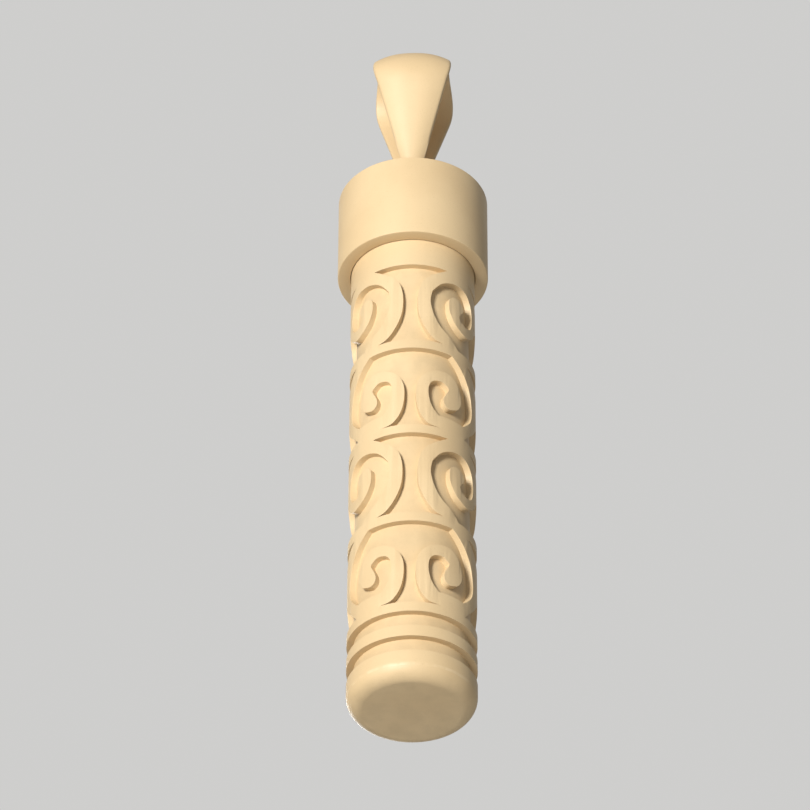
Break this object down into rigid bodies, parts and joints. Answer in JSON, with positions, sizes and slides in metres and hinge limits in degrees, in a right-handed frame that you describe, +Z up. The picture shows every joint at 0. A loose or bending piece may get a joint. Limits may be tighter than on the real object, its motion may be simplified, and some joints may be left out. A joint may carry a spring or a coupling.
{
  "type": "pendant mezuzah case",
  "caption": "Round relief tube for a rolled parchment, closed by a slip-on cap that hangs from a tapered, domed bail on an eyelet.",
  "frame": {"origin": "the seat where the neck chain rests, inside the top of the bail, on the case's axis", "axes": "+Z up along the axis of the tube, -Y to the front of the pattern, X along the bail's opening"},
  "size_m": [0.0098, 0.0098, 0.0527],
  "materials": {
    "cast_case": "cast metal with a thin matt cream coat, worn a little on its raised edges",
    "bail_metal": "cast metal with a thin matt cream coat, worn a little on its raised edges",
    "wire": "satin drawn wire",
    "seal_rubber": "matt black",
    "parchment": "matt scraped skin",
    "band_paper": "matt uncoated paper"
  },
  "bodies": {
    "bail": {"bail": "bail_metal"},
    "cap": {"cap_shell": "cast_case", "eyelet": "wire"},
    "ring": {"seal_ring": "seal_rubber"},
    "case": {"case_body": "cast_case"},
    "scroll": {"parchment": "parchment", "paper_band": "band_paper"}
  },
  "joints": [
    {"name": "bail_swing", "type": "hinge", "parent": "bail", "child": "cap", "pos_m": [0, 0, -0.01005], "axis": [1, 0, 0], "range_deg": [-60, 60]},
    {"name": "cap_pull", "type": "slide", "parent": "cap", "child": "ring", "axis": [0, 0, -1], "range_m": [0, 0.036]},
    {"name": "cap_turn", "type": "hinge", "parent": "ring", "child": "case", "pos_m": [0, 0, -0.015], "axis": [0, 0, 1], "continuous": true},
    {"name": "scroll_draw", "type": "slide", "parent": "case", "child": "scroll", "axis": [0, 0, 1], "range_m": [0, 0.0288]}
  ],
  "couplings": [
    {"joint": "scroll_draw", "follows": "cap_pull", "ratio": 0.8}
  ]
}
